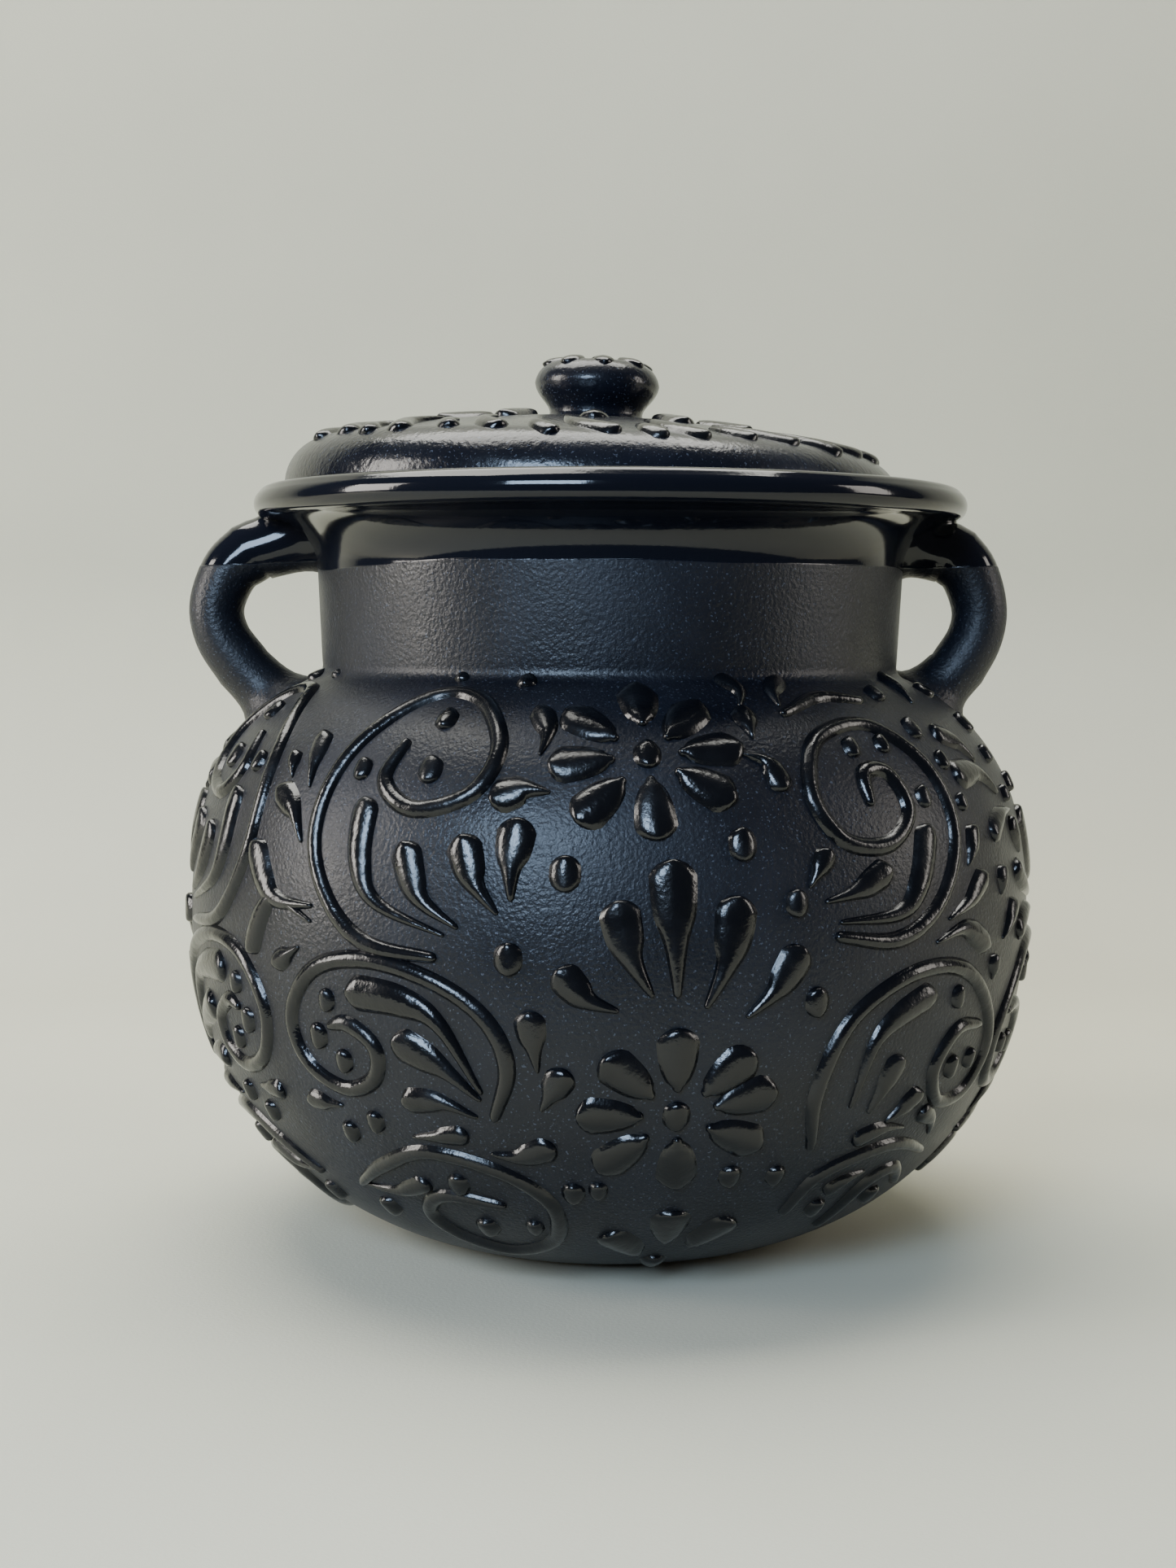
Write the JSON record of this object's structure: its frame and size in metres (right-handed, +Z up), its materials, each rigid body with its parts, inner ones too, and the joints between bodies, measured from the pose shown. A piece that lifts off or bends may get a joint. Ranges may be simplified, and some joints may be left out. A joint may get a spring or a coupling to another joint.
{
  "type": "lidded clay pot",
  "caption": "Round-bellied black clay cooking pot with a flared rim, loop handles, a low domed lid with a knob, and raised floral slip decoration.",
  "frame": {"origin": "centre of the foot, on the surface the pot stands on", "axes": "+Z up along the pot's axis; front of the pattern faces -Y; handles along +X and -X"},
  "size_m": [0.2537, 0.2535, 0.2624],
  "materials": {
    "satin_clay": "satin black, dipped glossy above the neck",
    "handle_clay": "satin black, glossy above the dip line",
    "lid_clay": "satin to gloss black",
    "slip_gloss": "burnished gloss black"
  },
  "bodies": {
    "pot": {"back_slip": "slip_gloss", "front_slip": "slip_gloss", "left_handle": "handle_clay", "left_slip": "slip_gloss", "right_handle": "handle_clay", "right_slip": "slip_gloss", "vessel": "satin_clay"},
    "lid": {"knob_petals": "slip_gloss", "lid": "lid_clay", "lid_knob": "lid_clay", "lid_slip": "slip_gloss"}
  },
  "joints": [
    {"name": "lid_lift", "type": "slide", "parent": "pot", "child": "lid", "axis": [0, 0, 1], "range_m": [0, 0.12]}
  ]
}
